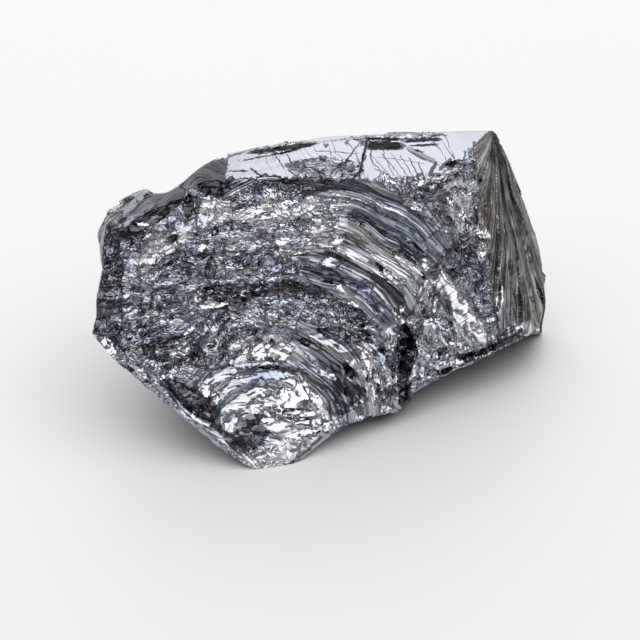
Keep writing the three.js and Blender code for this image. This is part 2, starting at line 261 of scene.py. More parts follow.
# The single chips that stand out: kind, place along, up and into, half length, half width, turn.
CHIPS = [
    ("gloom", -29.1, 31.9, 0, 12.2, 2.6, 92), ("gloom", -17.1, 48.6, 0, 4.9, 1.8, 35),
    ("gloom", -25.0, 41.1, 0, 5.3, 1.4, 10), ("gloom", -15.3, 21.3, 0, 6.9, 2.4, -30),
    ("gloom", -19.7, 22.2, 0, 6.1, 2.0, -45), ("gloom", 3.2, 50.0, 0, 14.2, 1.4, -3),
    ("gloom", 28.2, 49.9, 0, 5.3, 1.2, -18), ("gloom", 20.8, 31.5, 0, 5.3, 1.2, -45),
    ("gloom", 34.9, 37.9, 0, 4.1, 4.5, 0), ("gloom", -3.9, 31.5, 0, 12.6, 2.4, 0),
    ("gloom", 13.7, 15.2, 0, 3.2, 5.3, -10), ("gloom", 22.6, 19.6, 0, 2.8, 6.9, 0),
    ("gloom", -3.5, 6.2, 0, 6.1, 2.4, 40), ("gloom", -11.8, 10.7, 0, 7.3, 2.4, -45),
    ("sparkle", 10.7, 47.2, 0, 6.9, 2.4, 5), ("sparkle", 9.9, 42.1, 0, 5.3, 2.8, 48),
    ("sparkle", -0.7, 45.3, 0, 8.1, 1.8, 5), ("sparkle", -10.0, 45.6, 0, 3.6, 2.8, 50),
    ("sparkle", -18.9, 39.6, 0, 8.1, 1.6, 30), ("sparkle", 33.5, 46.9, 0, 2.4, 4.9, 0),
    ("sparkle", 34.0, 50.2, 0, 4.1, 1.4, 0), ("sparkle", 34.2, 27.0, 0, 11.3, 2.4, -50),
    ("sparkle", 28.2, 34.0, 0, 4.1, 2.2, 65), ("sparkle", 22.6, 34.5, 0, 8.9, 1.4, -42),
    ("sparkle", 16.6, 36.8, 0, 5.3, 1.2, -32), ("sparkle", 33.1, 22.2, 0, 6.1, 1.6, 20),
    ("sparkle", -0.4, 21.0, 0, 6.9, 3.2, -10), ("sparkle", 3.2, 11.1, 0, 7.3, 6.1, -10),
    ("sparkle", -5.6, 9.9, 0, 4.1, 3.6, 40), ("sparkle", 0.5, 2.8, 0, 6.9, 2.4, 20),
    ("sparkle", 9.3, 8.1, 0, 4.5, 1.6, 15), ("sparkle", -11.8, 7.8, 0, 15.8, 0.8, -41),
    ("sparkle", 24.0, 22.2, 0, 2.0, 4.9, 80), ("sparkle", 17.3, 16.9, 0, 2.8, 5.3, 80),
    ("mirror", 33.8, 39.8, 8.4, 1.4, 0.6, 10), ("mirror", 37.5, 38.9, 9.5, 2.4, 1.0, 85),
    ("mirror", 33.5, 45.5, 4.5, 2.4, 0.8, -50), ("mirror", 3.0, 46.9, -1.3, 1.9, 1.0, 15),
    ("mirror", -0.7, 44.9, -2.3, 2.4, 0.7, 5), ("mirror", -0.2, 49.5, -2.2, 1.0, 0.5, -5),
    ("mirror", -22.7, 43.2, -2.7, 1.2, 0.7, 5), ("mirror", -12.5, 39.1, -2.6, 1.9, 0.8, 40),
    ("mirror", -21.3, 41.2, -3.2, 1.6, 0.6, 20), ("mirror", -10.2, 29.1, -2.4, 3.1, 0.6, 8),
    ("mirror", -12.9, 31.0, -1.3, 1.4, 0.8, 80), ("mirror", -0.7, 9.3, 1.1, 1.7, 1.4, 0),
    ("mirror", -11.6, 14.1, -1.9, 1.6, 0.8, -70), ("mirror", -9.7, 13.2, -1.4, 1.0, 0.8, -60),
    ("mirror", -19.4, 16.7, -1.8, 0.9, 0.7, 80), ("mirror", -17.4, 16.4, -1.8, 1.4, 0.4, -80),
    ("mirror", 29.8, 20.1, 10.4, 1.2, 0.8, 30), ("mirror", -23.3, 17.6, -2.2, 3.0, 0.6, -42),
    ("mirror", 36.5, 19.7, 14.4, 2.6, 0.6, 16), ("mirror", 40.9, 30.5, 14.2, 3.1, 0.4, 88),
    ("mirror", 20.4, 34.7, 2.3, 3.1, 0.6, -45), ("mirror", 14.1, 29.6, 2.7, 1.7, 0.6, -28),
    ("mirror", 10.6, 16.9, 3.2, 1.7, 0.5, -52), ("mirror", -6.7, 38.2, -2.4, 2.3, 0.5, -5),
    ("mirror", -8.3, 33.5, -1.6, 2.8, 0.4, 0), ("mirror", 34.2, 49.3, 4.3, 1.6, 0.7, -20),
    ("mirror", 13.9, 53.4, -0.7, 1.6, 0.8, 22), ("mirror", 1.8, 40.4, -0.7, 1.7, 0.7, 10),
    ("ridge", 28.5, 34.4, 4.8, 3.2, 1.4, 65), ("dark", 12.3, 23.8, 2.3, 4.6, 1.2, -14),
    ("dark", -4.8, 32.2, -0.9, 7.4, 0.8, 0), ("dark", 7.8, 31.7, 1.4, 4.3, 0.8, -20),
    ("dark", 34.7, 35.8, 9.4, 3.1, 1.2, 0), ("dark", 32.8, 38.2, 7.0, 2.6, 0.7, 70),
    ("dark", 23.8, 23.4, 7.2, 2.6, 1.0, 90), ("dark", 23.6, 15.0, 8.6, 3.0, 1.4, 90),
    ("dark", 22.0, 18.1, 6.2, 2.1, 0.8, 75), ("gloom", -14.1, 12.3, -0.7, 6.9, 2.0, -44),
    ("dark", -10.2, 50.0, -1.7, 3.1, 1.4, -8), ("dark", -14.6, 46.5, -3.0, 2.1, 1.0, 85),
    ("dark", -10.7, 35.4, -1.9, 2.6, 1.0, 85), ("dark", -15.9, 36.3, -2.4, 2.4, 0.8, 0),
    ("dark", 33.0, 54.3, 3.3, 2.4, 0.7, 6), ("dark", -18.3, 29.3, -2.1, 1.7, 1.0, 0),
    ("dark", 2.1, 18.0, 1.7, 4.6, 0.5, -3), ("dark", 36.3, 20.4, 14.0, 1.7, 0.5, 0),
    ("dark", 30.7, 21.0, 10.8, 1.4, 0.7, 0), ("dark", -24.1, 42.6, -3.4, 2.4, 0.7, 5),
    ("dark", -18.9, 42.8, -3.2, 2.1, 0.8, 5), ("dim", -0.7, 30.1, 1.2, 4.6, 0.8, 0),
    ("brown", 37.5, 46.5, 7.7, 5.3, 1.2, 92), ("dim", 10.2, 7.2, 2.7, 3.6, 0.7, 25),
    ("dark", 40.2, 20.3, 16.3, 5.3, 0.5, 22), ("mirror", 18.1, 17.4, 5.4, 0.9, 0.5, 80),
    ("dim", -26.8, 21.0, -0.9, 2.4, 0.7, -42), ("dark", -1.6, 20.1, 0.6, 1.2, 0.7, 60),
    ("dark", 0.0, 22.2, 0.6, 0.5, 1.2, 0), ("mirror", -4.8, 16.7, 0.4, 2.8, 0.3, 8),
    ("mirror", 31.4, 47.9, 2.2, 1.4, 0.5, -60), ("mirror", 34.9, 43.3, 6.2, 1.2, 0.5, -60),
    ("mirror", 30.8, 42.8, 3.4, 1.4, 0.5, -60), ("dark", 31.7, 43.9, 3.6, 1.4, 0.7, -65),
    ("mirror", 32.4, 49.7, 2.7, 1.0, 0.5, -10), ("mirror", 26.1, 50.7, -0.5, 0.9, 0.5, 30),
    ("mirror", 20.8, 50.7, -1.4, 1.4, 0.4, 5), ("dark", 15.0, 27.0, 3.0, 2.1, 1.0, -50),
    ("mirror", 22.2, 27.0, 3.5, 1.7, 0.7, -75), ("mirror", 23.1, 28.7, 3.4, 1.4, 0.5, 60),
    ("mirror", 24.0, 21.3, 8.7, 1.2, 0.5, 80), ("mirror", 17.3, 23.1, 3.4, 2.1, 0.5, -10),
    ("mirror", 19.9, 21.0, 4.0, 1.4, 0.5, -20), ("mirror", 21.9, 13.4, 7.7, 1.7, 0.4, -60),
    ("mirror", 16.9, 15.2, 4.1, 1.7, 0.5, 85), ("mirror", 18.7, 13.9, 6.8, 1.6, 0.4, 80),
    ("dark", 13.7, 17.4, 3.5, 1.7, 0.8, -60), ("mirror", 7.9, 39.8, 0.1, 3.1, 0.5, -8),
    ("mirror", 5.8, 38.9, 0.3, 2.4, 0.7, 20), ("mirror", -6.3, 35.8, -2.2, 2.1, 0.4, 0),
    ("dark", -10.0, 42.1, -2.2, 1.0, 0.5, 60), ("dark", -17.6, 40.7, -3.0, 1.4, 0.7, 30),
    ("mirror", -16.6, 36.8, -2.2, 1.0, 0.3, 10), ("mirror", -22.4, 38.9, -2.4, 1.6, 0.5, 10),
    ("mirror", -14.4, 24.8, -2.2, 1.6, 0.5, 40), ("mirror", -21.9, 30.1, -2.5, 1.2, 0.5, 40),
    ("mirror", -25.4, 30.8, -2.9, 1.0, 0.5, 30), ("mirror", -16.9, 21.0, -2.3, 1.2, 0.4, 45),
    ("mirror", -15.0, 21.0, -2.3, 1.6, 0.3, 60), ("dark", -21.5, 21.0, -1.9, 1.7, 1.0, -50),
    ("dark", -23.3, 24.8, -2.2, 1.4, 0.8, 20), ("dark", -25.9, 26.6, -2.7, 1.2, 0.8, 40),
    ("mirror", -26.8, 26.3, -2.7, 1.0, 0.5, -60), ("mirror", -24.8, 23.8, -1.7, 1.0, 0.4, 20),
    ("gloom", 7.8, 53.4, 0, 5.8, 1.7, -4), ("gloom", 13.7, 52.7, 0, 2.7, 1.6, 0),
    ("gloom", -10.2, 49.5, 0, 3.1, 1.7, -10), ("gloom", -16.6, 48.1, 0, 3.9, 1.6, 35),
]

# The broad clean facets: place and shape as for chips, how steeply they fall back along and up the
# face, tone and smoothness. Their tones are painted, near 1 for reflections and near 0 for shade.
FACETS = [
    (-2.8, 21.1, 0.8, 3.2, 2.6, 0, -0.1, 0.32, 1.0, 0.97),
    (1.6, 21.0, 1.2, 1.9, 2.6, -75, 0.05, 0.22, 1.0, 0.97),
    (-4.9, 19.2, -0.1, 3.0, 1.4, 0, 0.06, 0.21, 0.42, 0.9),
    (3.9, 13.7, 2.2, 3.6, 3.3, -40, -0.03, 0.22, 1.0, 0.97),
    (4.9, 10.0, 2.1, 4.2, 0.8, 2, 0.14, 0.22, 1.0, 0.9),
    (7.0, 8.3, 2.4, 4.6, 0.8, 5, 0.25, 0.34, 1.0, 0.9),
    (5.5, 6.5, 1.7, 3.5, 0.7, 12, 0.19, 0.22, 1.0, 0.9),
    (-1.8, 14.6, 1.3, 1.1, 2.1, 5, 0.2, 0.22, 0.95, 0.6),
    (0.0, 10.4, 1.2, 2.5, 1.2, 10, 0.27, 0.22, 0.95, 0.6),
    (-4.4, 7.9, 0.0, 3.5, 1.9, 38, 0.19, 0.13, 0.08, 0.7),
    (-14.1, 12.3, -0.8, 5.6, 1.6, -44, -0.18, -0.23, 0.1, 0.6),
    (10.7, 46.9, -0.3, 3.3, 1.4, 5, 0.13, 0.22, 0.95, 0.5),
    (9.9, 42.8, 0.2, 3.0, 1.4, 48, 0.18, 0.22, 0.95, 0.6),
    (11.3, 40.5, 0.9, 2.1, 0.9, 35, 0.08, 0.22, 0.9, 0.5),
    (10.4, 36.7, 0.9, 2.1, 1.1, 0, 0.23, 0.22, 0.9, 0.5),
    (43.2, 22.7, 17.8, 3.7, 1.4, 22, 0.94, -0.21, 0.25, 0.85),
    (43.2, 24.7, 17.5, 3.2, 0.6, 22, 0.45, 0.22, 1.0, 0.8),
    (-29.3, 22.0, -2.3, 3.2, 1.4, -42, 0.35, 0.28, 1.0, 0.97),
    (25.4, 46.7, 0.4, 3.9, 1.1, -35, -0.45, 0.22, 1.0, 0.8),
    (37.4, 42.3, 8.6, 2.3, 1.2, -35, 0.45, 0.22, 0.9, 0.6),
    (31.7, 37.4, 5.9, 3.2, 1.9, -10, 0.57, -0.37, 0.08, 0.6),
    (23.9, 21.3, 8.6, 2.0, 4.6, 8, -0.2, -0.28, 0.08, 0.6),
    (29.6, 16.9, 11.2, 5.3, 0.5, 20, 0.45, 0.22, 0.9, 0.6),
]

# Bands of fine terraces, painted bright as glints: place along and up the face, half length, half
# width, turn, how steeply they climb along and up the face, and how many there are to each mm of
# climb.
TERRACES = [
    (33.0, 29.2, 11.0, 2.0, -52, 0.55, -0.69, 1.1), (28.0, 33.0, 3.2, 1.2, 62, 0.55, -0.9, 0.8),
    (22.0, 24.0, 3.9, 0.8, 68, 0.55, -0.69, 0.8), (27.0, 32.1, 2.5, 0.9, 75, 0.6, -0.9, 0.9),
    (29.1, 29.6, 1.8, 0.6, 85, 0.6, -0.9, 0.9), (32.2, 22.6, 3.3, 1.2, -32, 0.34, -0.69, 0.9),
    (29.8, 20.1, 1.5, 0.9, 30, 0.55, -0.99, 0.6), (44.4, 25.0, 2.8, 0.4, 28, 0.89, -0.57, 0.6),
    (18.3, 14.3, 2.9, 0.9, 80, 0.55, -0.61, 0.9), (25.4, 17.6, 1.5, 0.6, 75, -0.35, -0.68, 0.8),
    (16.6, 21.0, 3.1, 0.3, -30, 0.17, -0.34, 0.8), (14.1, 24.8, 2.3, 0.3, -20, 0.26, -0.77, 0.8),
    (20.4, 17.4, 2.5, 0.3, -62, 0.55, -0.69, 0.8), (24.3, 36.4, 3.8, 1.1, -38, 0.23, -0.69, 0.9),
    (43.6, 24.7, 3.1, 0.9, 22, 0.89, -0.57, 0.5), (36.5, 19.9, 2.4, 0.9, 18, 0.55, -0.69, 0.5),
    (30.0, 17.0, 4.0, 0.6, 22, 0.55, -0.69, 0.5), (41.0, 30.2, 3.2, 0.8, 88, 0.89, -0.57, 0.5),
    (12.2, 32.3, 1.9, 0.6, -30, 0.2, -0.26, 0.6), (20.4, 34.7, 3.6, 0.5, -42, 0.22, -0.26, 0.8),
]

# Cracks and dark breaks, most of them on the crest, painted as shade in them and a few as grey:
# place and shape as for terraces, and tone.
CRACKS = [
    (16.6, 57.1, 1.9, 0.23, 79, -0.8), (15.9, 53.7, 2.3, 0.28, 79, -0.8),
    (20.1, 57.6, 3.7, 0.81, 0, -0.9), (19.7, 58.9, 3.2, 0.28, 0, -0.9),
    (26.8, 58.7, 3.5, 0.35, 4, -0.85), (27.1, 57.8, 2.6, 0.21, 3, -0.8),
    (26.6, 55.9, 3.2, 0.6, -28, 0.16), (26.8, 55.5, 3.5, 0.09, -26, -0.7),
    (30.8, 54.3, 1.6, 0.42, 45, -0.5), (1.9, 57.2, 6.3, 0.46, 7, -0.9),
    (0.0, 56.0, 5.3, 0.18, 12, -0.8), (-6.0, 53.0, 1.9, 0.16, 0, -0.8),
    (-2.6, 52.7, 1.4, 0.21, -38, -0.8), (1.4, 54.8, 1.6, 0.12, -55, -0.8),
    (3.2, 55.2, 1.2, 0.14, -65, -0.8), (14.1, 56.0, 2.5, 0.16, 55, -0.6),
    (12.9, 54.4, 1.4, 0.28, 20, -0.5), (21.3, 53.9, 3.0, 0.08, -52, -0.5),
    (22.7, 54.1, 3.0, 0.08, -56, -0.5), (24.1, 53.7, 2.8, 0.08, -60, -0.5),
    (25.4, 53.4, 2.5, 0.11, -66, -0.6), (26.6, 52.9, 1.9, 0.14, -70, -0.6),
    (19.6, 53.7, 3.2, 0.07, -48, -0.4), (23.1, 55.0, 4.6, 0.06, -8, -0.3),
    (28.5, 53.4, 1.6, 0.35, 62, -0.6), (11.5, 56.4, 4.2, 0.09, -4, -0.4),
    (-8.8, 55.2, 0.7, 0.11, -60, -0.7), (-24.5, 47.2, 3.2, 0.88, 44, 0.16),
    (-23.2, 46.9, 2.6, 0.21, 47, -0.75), (-22.0, 46.3, 2.1, 0.49, 45, 0.06),
    (-21.0, 46.0, 2.1, 0.26, 45, -0.75), (-19.7, 45.6, 1.8, 0.41, 42, 0.1),
    (-18.9, 44.8, 1.6, 0.26, 42, -0.75), (-25.4, 43.9, 1.6, 0.7, 25, 0.22),
    (-16.9, 47.8, 2.1, 1.06, 40, -0.65), (-14.4, 46.3, 1.6, 0.79, 85, -0.65),
    (-10.6, 49.7, 2.8, 0.97, -8, -0.7), (24.3, 21.0, 4.6, 1.23, 82, -0.35),
    (23.8, 13.0, 2.1, 1.23, 80, -0.35), (40.2, 22.0, 4.9, 0.63, 24, 0.0),
    (32.8, 16.7, 3.2, 0.35, 22, -0.6), (34.5, 20.1, 1.4, 0.53, 15, -0.6),
]

# Tones paint light and shade over a random tone from flake to flake: they run from painted shade,
# dark at 0, through metal 0.5 and painted reflection, bright at 1, to painted glints, frosted at 2,
# and turn black as deep painted shade from -0.5 to -1.

# Each kind of chip: whether it is one plane, how steeply that plane falls back along and up the
# face, how far it stands out in mm, its tone, how smooth it is and how brown. The tones and browns
# are painted: gloomy and dark chips paint shade and dark reflections, sparkling, mirror and ridge
# chips paint reflections and glints, and brown chips paint warm reflections.
CHIP_KINDS = {
    "gloom": (0, 0.0, 0.0, 0.0, -0.1, 0.25, 0.15),
    "sparkle": (0, 0.0, 0.0, 0.0, 0.95, 0.05, 0.0),
    "mirror": (1, 0.05, 0.36, 0.1, 0.95, 0.75, 0.0),
    "ridge": (1, 0.0, 0.34, 0.2, 1.2, 0.35, 0.0),
    "dark": (1, 0.05, 0.0, -0.25, 0.06, 0.5, 0.1),
    "dim": (1, 0.0, 0.03, 0.05, 0.55, 0.75, 0.0),
    "brown": (1, 0.8, -0.2, 0.0, 0.36, 0.5, 0.9),
}

# The finish across each sweep of arcs, in bands of painted shade, reflections and warm reflections:
# reach from its middle in mm, tone and brownness.
ARCH_BANDS = [
    (20.5, 0.4, 0.1), (21.1, 0.45, 0.0), (21.7, 1.0, 0.0), (22.4, 0.4, 0.1), (23.6, 0.2, 0.1),
    (24.6, 0.48, 0.0), (25.8, 0.42, 0.0), (26.4, 0.06, 0.1), (27.4, 0.05, 0.1), (27.9, 0.45, 0.0),
    (28.7, 1.1, 0.0), (29.4, 0.5, 0.3), (30.6, 0.4, 0.7), (33.2, 0.42, 0.6), (34.0, 0.06, 0.2),
    (35.0, 0.05, 0.1), (35.6, 0.42, 0.0), (37.4, 0.4, 0.0), (38.4, 0.62, 0.1), (39.1, 0.06, 0.1),
    (40.3, 0.1, 0.2), (41.0, 0.52, 0.0), (41.6, 0.5, 0.0),
]
FAN_BANDS = [
    (14.8, 0.42, 0.0), (15.8, 0.95, 0.0), (16.4, 0.35, 0.1), (17.2, 0.06, 0.1),
    (18.2, 0.3, 0.2), (18.8, 1.05, 0.0), (19.4, 0.4, 0.0), (20.2, 0.08, 0.0),
    (21.4, 0.4, 0.6), (22.4, 0.9, 0.0), (23.0, 0.06, 0.0), (24.0, 0.3, 0.0),
]

# How smooth the arcs' bands are.
BAND_SMOOTHNESS = 0.1

# How near and far from its middle each sweep of arcs lies, and the fan's angles in radians.
ARCH_SPAN = (ARCH_BANDS[0][0], ARCH_BANDS[-1][0])
FAN_SPAN = (FAN_BANDS[0][0], FAN_BANDS[-1][0])
FAN_ANGLES = (0.2, 1.2)
SHOULDER_SPAN = (3.4, 9.0)

# The great arcs come in an inner, an outer and an outermost set, each with its own left end.
ARCH_STEP = 33.0
ARCH_OUTERMOST = 38.4
INNER_LEFT, OUTER_LEFT, OUTERMOST_LEFT = 3.5, 9.0, -8.5

# Other limits along and up the broad face and into it. The crest's foot climbs at its right end.
CREST_LEFT, CREST_FOOT = -8.0, 51.6
CREST_CLIMB_FROM, CREST_CLIMB = 30.0, 0.95
CORNER_FOOT = 43.0
SHOULDER_SIDES, SHOULDER_FOOT, SHOULDER_DEPTH = (-16.0, -7.8), 49.8, 7.0
STRIP_RIGHT, STRIP_ENDS = -26.4, (22.0, 45.5)
STACK_DEPTH = 6.0
NOSE_FOOT = 2.0
LOWER_RIGHT_TOP, HACKLE_TURNS_FROM, LIT_FROM = 27.0, 12.0, 13.0

# To dot with a spot (along, up, 1): how deep the back begins, and lines where the sum is 0.
BACK_DEPTH = Vector((0.246, -0.456, 25.7))
RIGHT_LINE = Vector((1.0, 0.15, -44.3))
STEP_LINE = Vector((-0.76, 1.0, -35.176))
RIDGE_LINE = Vector((1.66, -1.0, -13.084))

# Long shapes: place along and up the face, half length, half width and turn.
RIDGE = (33.0, 29.2, 10.8, 2.0, -52)
STACK = (-22.0, 46.2, 8.2, 3.2, 34)
BEVEL = (-13.4, 10.0, 16.0, 1.0, -39.6)
RUBBLE = (9.5, 53.0, 6.8, 2.4, 0)
RINDS = [(2.0, 57.2, 6.0, 1.0, 8), (21.5, 59.2, 9.6, 0.8, 3)]

# Each region's flakes: how wide and long they are in mm and how high in the mesh; how much they
# lean, crease and streak; and their tone, smoothness and brownness, which arcs take from their
# bands. The tones paint each region's light and shade and the browns its warm reflections. A later
# region covers an earlier one.
REGIONS = {
    "hackle": ((1.5, 3.6, 0.6), (0.22, 0.45, 0.05), (0.15, 0.0, 0.1)),
    "nose": ((3.8, 7.0, 0.2), (0.14, 0.04, 0.2), (0.55, 0.45, 0.0)),
    "fan": ((2.0, 15.0, 0.7), (0.16, 0.06, 0.44), None),
    "arch": ((2.4, 22.0, 0.7), (0.16, 0.05, 0.44), None),
    "ridge": ((1.3, 9.0, 0.4), (0.1, 0.0, 0.3), (1.15, 0.5, 0.0)),
    "back": ((2.6, 7.5, 1.0), (0.3, 0.2, 0.08), (0.45, 0.1, 0.2)),
    "stack": ((2.2, 14.0, 0.7), (0.1, 0.0, 0.2), (0.05, 0.4, 0.0)),
    "shoulder": ((0.7, 9.0, 0.3), (0.1, 0.05, 0.75), (-0.6, 0.1, 0.1)),
    "bevel": ((1.4, 12.0, 0.3), (0.2, 0.02, 0.4), (0.55, 0.3, 0.0)),
    "right": ((1.8, 40.0, 0.22), (0.22, 0.02, 0.54), (0.23, 0.1, 0.65)),
    "top": ((5.0, 9.0, 1.0), (0.02, 0.0, 0.01), (0.42, 0.92, 0.0)),
    "strip": ((1.4, 3.5, 0.7), (0.16, 0.3, 0.15), (-0.35, 0.1, 0.6)),
}

# The radius in mm at which each round region turns angles into lengths.
RADIUS = {"nose": 13.0, "fan": 19.0, "arch": 30.0, "shoulder": 6.0, "right": 26.0}

# Flakes are this deep in mm, and where lines run along the face they hardly change into the lump.
FLAKE_DEPTH = 3.0
STEADY = 0.2

# The hackle's patches: how many to each mm, how far they turn in radians, how they slant across and
# along as they go in, and how far apart their patterns lie.
PATCHES = 0.15
PATCH_TURN, LOWER_RIGHT_TURN = 2.6, 1.2
PATCH_SLANT = (0.8, 0.5)
PATCH_APART = 60.0

# The crack's waver: noise of this scale and detail, and how far it pushes in mm.
BROAD_WAVER, FINE_WAVER, SWEPT_WAVER = (0.16, 3.0), (0.9, 2.0), (0.11, 0.0)
BROAD_PUSH, FINE_PUSH, CHIP_PUSH, EDGE_PUSH, SWEPT_PUSH = 5.0, 0.8, 0.2, 1.1, 3.0

# How ragged the crest's foot and the arcs' ends are, in mm.
FRINGE, FEATHER = 5.0, 18.0

# Behind the top left corner, surfaces count as turned to the back by this much more.
CORNER_TURN = 0.72

# How far the tone drifts, how much less on swept ground, and the lit patches' extra tone.
DRIFT, CALM, LIT_TONE = 1.3, 0.8, 0.22

# A terraced band's finish with painted glints, and the terraces of lit patches and of everywhere
# else.
TERRACE_GLINT_FINISH = Vector((1.15, 0.2, 0.0))
LIT_TERRACE = Vector((0.5, -0.65, 0.9))
NO_TERRACE = Vector((0.0, 0.0, 1.0))

# How far in mm a chip's plane may cut in or stand out, and how far a clean facet stands out.
DEEPEST_CHIP = 1.1
FACET_STAND = 0.1

# Cells to each unit of grain: coarse ones in the mesh, and finer ones in the material.
COARSE_FLAKES, COARSE_CREASES = 0.6, 0.8
FINE_FLAKES, MIDDLE_CREASES, FINE_CREASES = 1.8, 1.4, 2.8
FINE_LINES, BROAD_LINES = 5.5, 2.0

# Keeps one pattern from falling together with another.
APART = Vector((7.3, 2.1, 4.7))

# How far plates tilt along the crack's lines, against across them.
ALONG_TILT = 0.35

# How high the material's flakes and lines stand.
FLAKE_HEIGHT, LINE_HEIGHT, BROAD_LINE_HEIGHT = 0.8, 0.1, 0.7

# How much each detail adds to the tone, at random for flakes, as painted streaks of glint and shade
# for lines and as painted glints for folds and splinters, or for a hairline takes from it as
# painted shade.
FLAKE_TONE, LINE_TONE, BROAD_LINE_TONE, FOLD_TONE, EDGE_GLINT_TONE = 0.35, 6.0, 3.5, 0.8, 1.8
HAIRLINE_TONE = 0.45

# A crack shows as far in as this, in mm, and further in to the right.
CRACK_DEPTH, CRACK_DEEPENS = 9.0, 0.25

# The roughness of a mirror facet, and what flakes, streaks and the painted glints add to it.
MIRROR_ROUGHNESS, FLAKE_ROUGHNESS, STREAK_ROUGHNESS, GLINT_ROUGHNESS = 0.1, 0.14, 0.25, 0.35

# Flakes start at the first height and are full at the second, so the foot stays flat.
FOOT = (0.6 * MM, 2.0 * MM)


def axes(along, up, length, width, turn):
    """A shape's axes: vectors that, dotted with a spot (along, up, 1), tell how far out it is."""
    c, s = math.cos(math.radians(turn)), math.sin(math.radians(turn))
    lengthways = Vector((c, s, -c * along - s * up)) / length
    crossways = Vector((-s, c, s * along - c * up)) / width
    return lengthways, crossways


def outwards(net, spot, lengthways, crossways, square):
    """How far out a spot is, 1 being the rim: a diamond's for square 0, a rectangle's for 1."""
    a, b = abs(spot.dot(lengthways)), abs(spot.dot(crossways))
    return a + b - net.math("MINIMUM", a, b) * square


def inside(net, spot, shape, square):
    """1 inside a shape of the tables."""
    return outwards(net, spot, *axes(*shape), square) < 1.0


def measured(spot, shape):
    """How far in mm a spot lies along and across a diamond from its middle."""
    lengthways, crossways = axes(*shape)
    _, _, length, width, _ = shape
    return spot.dot(lengthways) * length, spot.dot(crossways) * width


def on_face(place):
    """A place in mm from the nose, told along and up the broad face and into it."""
    return place.dot(ALONG), place.dot(UP), place.dot(INTO)


def hackle_travel(net, u, v, w, turning):
    """The travel of the hackle, which lies in patches that each run their own way."""
    spot = net.vector(u, v, w * 0.5)
    colour, middle = net.cells(spot, PATCHES)
    red, green, _ = colour.xyz()
    x, y, _ = (spot - middle).xyz()
    turn = (red - 0.5) * PATCH_TURN + turning * LOWER_RIGHT_TURN
    sine, cosine = net.math("SINE", turn), net.math("COSINE", turn)
    across = y * cosine - x * sine + w * PATCH_SLANT[0]
    along = x * cosine + y * sine + w * PATCH_SLANT[1]
    return across, along, w + green * PATCH_APART


